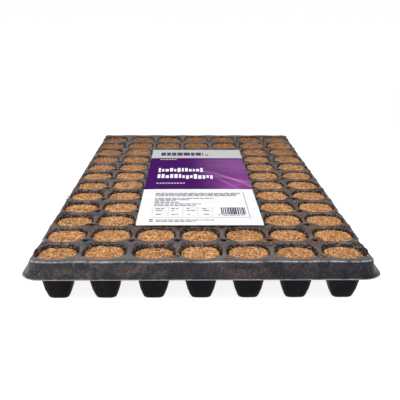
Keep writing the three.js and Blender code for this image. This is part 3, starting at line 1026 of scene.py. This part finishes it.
def card_marks():
    """(x0, x1, y0, y1, ink) in millimetres. Plain bars and blocks, no lettering."""
    marks = [
        (CARD_LO[0], CARD_HI[0], 100.9, CARD_HI[1], "head"),
        (CARD_LO[0], CARD_HI[0], -51.4, 100.9, "band"),
        (11.6, 16.2, 116.5, 124.2, "grey"),
    ]

    def blocks(x0, x1, y0, y1, wide, gap, ink, seed, lift=0.0, drop=0.0):
        """A row of plain blocks in place of large print."""
        x, k = x0, 0
        while x < x1 - 1.0:
            w = min(wide * (0.75 + 0.5 * float(hash01(seed, k, 2))), x1 - x)
            up = lift if float(hash01(seed, k, 3)) > 0.68 else 0.0
            down = drop if float(hash01(seed, k, 4)) > 0.72 else 0.0
            marks.append((x, x + w, y0 - down, y1 + up, ink))
            x += w + gap
            k += 1

    blocks(-49.5, 8.8, 115.5, 134.5, 7.2, 1.3, "ink", 501)
    blocks(-49.5, -27.2, 91.2, 95.2, 2.6, 1.0, "pale", 502)
    blocks(-49.2, 7.0, 28.0, 40.5, 3.3, 1.5, "white", 503, lift=5.0, drop=2.5)
    blocks(-49.2, 20.0, -3.0, 9.5, 3.3, 1.5, "white", 504, lift=5.5, drop=4.0)
    blocks(-49.2, -15.6, -28.4, -23.8, 2.3, 1.0, "pale", 505)

    def line(y, x0, x1, h, seed):
        x, k = x0, 0
        while x < x1 - 1.0:
            w = 2.2 + 5.2 * float(hash01(seed, k, 1))
            w = min(w, x1 - x)
            marks.append((x, x + w, y - h / 2, y + h / 2, "grey"))
            x += w + 0.9
            k += 1

    for i, (y, x1) in enumerate(
        ((-68.6, 46.5), (-72.9, 44.0), (-77.4, 41.5), (-87.4, 16.6), (-92.4, -11.0), (-96.8, -25.0),
         (-102.3, -21.5), (-107.7, 2.0), (-112.8, -4.0))
    ):
        line(y, -47.6, x1, 2.9, 300 + i)
    # the table: four boxes
    for x in (-48.0, -32.1, -16.9, -1.7, 13.4):
        marks.append((x, x + 0.45, -148.3, -119.8, "pale"))
    for y in (-148.3, -120.2):
        marks.append((-48.0, 13.8, y, y + 0.55, "pale"))
    for i, x in enumerate((-45.4, -29.3, -13.0, 3.2)):
        line(-123.9, x, x + (9.5, 8.4, 4.6, 4.2)[i], 2.8, 400 + i)
        line(-130.2, x + 0.6, x + (8.8, 3.4, 8.8, 7.2)[i], 2.4, 410 + i)
        line(-142.6, x + 1.2, x + (6.4, 8.0, 3.6, 7.8)[i], 2.6, 420 + i)
    # upright bars of unequal width
    x, k = 22.4, 0
    while x < 47.4:
        w = 0.5 + 1.3 * float(hash01(k, 77))
        marks.append((x, min(x + w, 48.2), -143.8, -119.8, "ink"))
        x += w + 0.3 + 0.6 * float(hash01(k, 78))
        k += 1
    line(-146.6, 24.0, 47.0, 1.6, 430)
    marks.append((19.4, 21.0, -145.6, -142.6, "grey"))
    # rules to the right and below
    marks += [
        (50.1, 50.7, -152.6, -64.8, "grey"),
        (-48.0, 50.7, -153.1, -152.4, "grey"),
        (-48.0, 50.1, -64.9, -64.5, "pale"),
        (-49.9, -46.2, -165.8, -162.4, "grey"),
        (-49.9, -46.2, -160.6, -157.2, "grey"),
    ]
    line(-160.6, -43.4, 14.0, 2.3, 440)
    line(-164.6, -43.4, -4.0, 2.2, 441)
    return marks


def build_card():
    marks = card_marks()
    names = ["white_card", "head", "band", "ink", "grey", "white", "pale", "board"]
    materials = [
        printed("white_card", WHITE),
        printed("card_head", HEAD),
        purple_band(),
        printed("card_ink", INK, 0.38),
        printed("card_grey", GREY),
        printed("card_white_ink", (0.88, 0.87, 0.90)),
        printed("card_pale", PALE),
        printed("card_board", (0.70, 0.69, 0.67), 0.7),
    ]

    def breaks(lo, hi, cuts, most):
        b = sorted({round(float(c), 3) for c in cuts if lo < c < hi} | {round(float(lo), 3), round(float(hi), 3)})
        out = [b[0]]
        for v in b[1:]:
            if v - out[-1] < 0.04:
                continue
            k = int(math.ceil((v - out[-1]) / most))
            out += list(np.linspace(out[-1], v, k + 1)[1:])
        out[-1] = hi
        return np.array(out)

    xs = breaks(CARD_LO[0], CARD_HI[0], [v for m in marks for v in m[:2]], 8.0)
    ys = breaks(CARD_LO[1], CARD_HI[1], [v for m in marks for v in m[2:4]], 8.0)
    mx, my = (xs[:-1] + xs[1:]) / 2, (ys[:-1] + ys[1:]) / 2
    ink = np.zeros((len(my), len(mx)), int)
    for x0, x1, y0, y1, what in marks:
        ink[np.ix_((my > y0) & (my < y1), (mx > x0) & (mx < x1))] = names.index(what)
    gx, gy = np.meshgrid(xs, ys)
    flat = np.c_[gx.reshape(-1), gy.reshape(-1), np.zeros(gx.size)]
    # the card is nearly flat: its corners stand up a hair
    u = gx.reshape(-1) / CARD_HI[0]
    v = (gy.reshape(-1) - (CARD_LO[1] + CARD_HI[1]) / 2) / ((CARD_HI[1] - CARD_LO[1]) / 2)
    wave = 0.10 * np.sin(gy.reshape(-1) / 38 + 0.8) + 0.22 * (u * v) ** 2 + 0.06 * np.cos(2.4 * u)
    # and it sags at its edges
    wave -= 0.45 * smooth((CARD_LO[1] + 11 - gy.reshape(-1)) / 11) + 0.22 * np.abs(u) ** 6
    thick = 0.38
    top = flat + np.c_[np.zeros((len(flat), 2)), CARD_LO[2] + thick + wave - 0.02]
    low = flat + np.c_[np.zeros((len(flat), 2)), CARD_LO[2] + wave - 0.02]
    w, h = len(xs), len(ys)
    i, k = np.meshgrid(np.arange(w - 1), np.arange(h - 1))
    a = (k * w + i).reshape(-1)
    quads = np.c_[a, a + 1, a + w + 1, a + w]
    n = len(flat)
    ring = np.concatenate([
        np.arange(w), (np.arange(1, h) * w + w - 1),
        ((h - 1) * w + np.arange(w - 2, -1, -1)), (np.arange(h - 2, 0, -1) * w),
    ])
    nxt = np.roll(ring, -1)
    side = np.c_[ring + n, nxt + n, nxt, ring]
    faces = np.vstack([quads, quads[:, ::-1] + n, side])
    mat = np.concatenate([ink.reshape(-1), np.full(len(quads), 7), np.full(len(side), 7)])
    o = make_mesh("printed_card", np.vstack([top, low]), faces, materials, mat, smooth_shade=False)
    return o


card = build_card()
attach(card, "card")
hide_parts("label_card")


# ---------------------------------------------------------------- spilled crumbs on the deck
def on_mouth(dx, dy):
    """Distance from a cell's middle, as a share of the mouth's outline there."""
    n = square_n(DECK)
    return float((abs(dx) ** n + abs(dy / 1.02) ** n) ** (1 / n)) / MOUTH_R


def deck_height(x, y):
    """Height of the deck at a point outside every mouth, or None over a cell or a vent."""
    col = min(max(round(x / PX + (COLUMNS + 1) / 2), 1), COLUMNS)
    row = min(max(round(y / PY + (ROWS + 1) / 2), 1), ROWS)
    dx, dy = x - cell_x(col), y - cell_y(row)
    r = math.hypot(dx, dy)
    if on_mouth(dx, dy) < 1.05:
        return None
    if abs(abs(dx) - PX / 2) < 3.6 and abs(abs(dy) - PY / 2) < 3.6 and abs(x) < 130 and abs(y) < 240:
        return None
    ext = (PX / 2,) * 2 + (PY / 2,) * 2
    t = math.atan2(dy, dx)
    edge_r = r / on_mouth(dx, dy)
    gap = ray_to_edge(np.array([t]), ext, ["vent"] * 4)[0] - edge_r
    fall = max(0.0, 1 - (r - edge_r) / MOUTH_FILLET)
    return DECK - float(dip(gap)) - 0.9 * fall**2


def build_crumbs():
    spots = []
    # (x, y, spread across, spread along, how many): the heaps, then a sprinkling everywhere
    heaps = [
        (8.0, -257.0, 17, 2.2, 140), (-6.0, -256.0, 9, 2.2, 40), (62.5, -215.0, 8, 7, 90),
        (104.2, -214.0, 9, 8, 60), (104.3, -250.0, 10, 4, 40), (66.0, -256.5, 16, 3, 60),
        (141.0, -190.0, 3, 30, 40), (142.0, -90.0, 3, 40, 40), (104.0, -128.0, 7, 7, 26),
        (104.0, -85.0, 7, 7, 26), (104.0, -43.0, 7, 7, 24), (104.0, 0.0, 7, 7, 22),
        (-20.8, -250.0, 8, 5, 18), (-62.5, -171.0, 7, 7, 14), (-104.0, -171.0, 7, 7, 12),
        (21.0, -215.0, 8, 6, 22), (-142.0, -40.0, 3, 60, 24),
    ]
    k = 0
    for hx, hy, sx, sy, n in heaps:
        for i in range(n * 3):
            k += 1
            a, b = hash01(k, 601), hash01(k, 602)
            r = math.sqrt(-2 * math.log(max(float(a), 1e-6))) * 0.6
            spots.append((hx + sx * r * math.cos(6.283 * b), hy + sy * r * math.sin(6.283 * b)))
    for i in range(6800):
        k += 1
        across = float(hash01(k, 603)) ** (1.0 if i % 2 else 0.6)
        spots.append(((across - 0.5) * 290, (float(hash01(k, 604)) - 0.5) * 514))
    where, size, shade = [], [], []
    for i, (x, y) in enumerate(spots):
        if abs(x) > 146 or abs(y) > 258.6:
            continue
        if CARD_LO[0] - 1.5 < x < CARD_HI[0] + 1.5 and CARD_LO[1] - 1.5 < y < CARD_HI[1] + 1.5:
            continue
        z = deck_height(x, y)
        if z is None:
            continue
        s = 0.24 + 0.58 * float(hash01(i, 605)) ** 2.4
        if z + s * 1.2 > CARD_HI[2]:
            continue
        where.append(warp([(x, y, z + s * 0.30)])[0])
        size.append(s)
        shade.append(float(hash01(i, 606)))
    for row in range(1, ROWS + 1):
        for col in range(1, COLUMNS + 1):
            mx, my, radius = mouth_of(col, row)
            many = 46 if row < 4 or col > 5 else 28
            for i in range(many):
                t = float(hash01(row, col, i, 651)) * 2 * math.pi
                z = 37.6 + 4.6 * float(hash01(row, col, i, 652))
                s = 0.20 + 0.44 * float(hash01(row, col, i, 653)) ** 3
                r = float(wall_r(z)) + 0.25 * max(0.0, z - 40) - 0.25 * s
                u = section(np.array([t]), z)[0] * r
                at = (cell_x(col) + mx + u[0], cell_y(row) + my + u[1], z)
                where.append(warp([at])[0])
                size.append(s)
                shade.append(0.56 * float(hash01(row, col, i, 654)))
    v, f = lumps(np.array(where), np.array(size), 700)
    dark = np.repeat(np.array(shade), 12)
    o = make_mesh("spilled_crumbs", v, f, (COIR[0],))
    point_attribute(o, "crevice_shade_and_dark_tone", np.where(dark < 0.48, 1.05, np.where(dark < 0.74, 0.62, 0.1)))
    return o


crumbs = build_crumbs()
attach(crumbs, "tray")

# ---------------------------------------------------------------- stage, lights, camera
floor_m = Nodes("pale_floor_painted_light")
n = floor_m.noise(900, 2, 0.5)
c = floor_m.mix(n, (0.51, 0.51, 0.51), (0.53, 0.53, 0.53))
x, y, _ = floor_m.xyz()
# painted light: the floor glows, most strongly near the tray's edges and under its front, which lifts the tray's
# shadow there; further out it glows a little more with distance
beyond = floor_m.math("SUBTRACT", floor_m.math("ABSOLUTE", x), LIP_X / MM)
beyond = floor_m.math("MAXIMUM", beyond, floor_m.math("SUBTRACT", floor_m.math("ABSOLUTE", y), LIP_Y / MM))
front = floor_m.ramp(y, -0.105, -0.175, 0.0, 1.0)
near = floor_m.math("MAXIMUM", floor_m.ramp(beyond, -0.085, -0.035), front)
glow = floor_m.math("MULTIPLY_ADD", near, 0.50, floor_m.ramp(beyond, 0.25, 2.2, 0.0, 0.16))
shade = floor_m.math("MULTIPLY", near, floor_m.ramp(beyond, 0.26, 0.06))
glow = floor_m.math("MULTIPLY_ADD", shade, 0.36, glow)
floor_m.put(floor_m.bsdf.inputs["Emission Strength"], glow)
floor_m.finish(c, 0.9, Specular_IOR_Level=0.0, Emission_Color=(1, 1, 1, 1))
floor = make_mesh(
    "floor",
    [(-9000, -9000, 0), (9000, -9000, 0), (9000, 9000, 0), (-9000, 9000, 0)],
    np.array([[0, 1, 2, 3]]),
    (floor_m.material,),
)

world = bpy.data.worlds.new("studio")
bpy.context.scene.world = world
world.use_nodes = True
world.node_tree.nodes["Background"].inputs["Color"].default_value = (1.0, 1.0, 1.0, 1)
sky = world.node_tree
place = sky.nodes.new("ShaderNodeTexCoord")
split = sky.nodes.new("ShaderNodeSeparateXYZ")
fade = sky.nodes.new("ShaderNodeMapRange")
fade.interpolation_type = "SMOOTHSTEP"
for k, value in ((1, 0.30), (2, 0.62), (3, 1.0), (4, 0.70)):
    fade.inputs[k].default_value = value
sky.links.new(place.outputs["Generated"], split.inputs[0])
sky.links.new(split.outputs[2], fade.inputs[0])
sky.links.new(fade.outputs[0], sky.nodes["Background"].inputs["Strength"])


def softbox(name, place, aim, wide, deep, power, colour=(1, 1, 1)):
    data = bpy.data.lights.new(name, "AREA")
    data.shape = "RECTANGLE"
    data.size, data.size_y = wide, deep
    data.energy = power
    data.color = colour
    o = bpy.data.objects.new(name, data)
    bpy.context.scene.collection.objects.link(o)
    o.location = place
    o.rotation_mode = "QUATERNION"
    o.rotation_quaternion = (Vector(aim) - Vector(place)).to_track_quat("-Z", "Y")
    o.visible_camera = False
    return o


softbox("overhead_strip", (0, -0.15, 1.2), (0, -0.15, 0), 1.5, 0.07, 4.6)
softbox("key", (-0.80, -0.95, 0.95), (0, -0.1, 0), 0.22, 0.22, 3.2)
softbox("front_fill", (-0.35, -1.65, 0.32), (-0.05, 0, 0.02), 1.2, 0.2, 3.4)
softbox("rear_panel", (0, 1.6, 1.7), (0, 0, 0), 2.0, 0.6, 3.5)

cam_data = bpy.data.cameras.new("camera")
cam = bpy.data.objects.new("camera", cam_data)
bpy.context.scene.collection.objects.link(cam)
bpy.context.scene.camera = cam
cam_data.sensor_fit = "HORIZONTAL"
cam_data.sensor_width = 36
cam_data.lens = 58.03
cam_data.clip_start, cam_data.clip_end = 0.02, 60
pitch, yaw, roll = math.radians(17.17), math.radians(-0.99), math.radians(-0.26)
right = Vector((math.cos(yaw), math.sin(yaw), 0))
ahead = Vector((-math.sin(yaw) * math.cos(pitch), math.cos(yaw) * math.cos(pitch), -math.sin(pitch)))
up = Vector((-math.sin(yaw) * math.sin(pitch), math.cos(yaw) * math.sin(pitch), math.cos(pitch)))
right, up = (
    right * math.cos(roll) - up * math.sin(roll),
    right * math.sin(roll) + up * math.cos(roll),
)
m = Matrix((right, up, -ahead)).transposed().to_4x4()
m.translation = Vector((-0.0102, -0.7611, 0.2506))
cam.matrix_world = m

scene = bpy.context.scene
scene.view_settings.view_transform = "Standard"
scene.view_settings.look = "None"
scene.view_settings.exposure = 0.0
scene.view_settings.gamma = 1.0

bpy.context.view_layer.update()
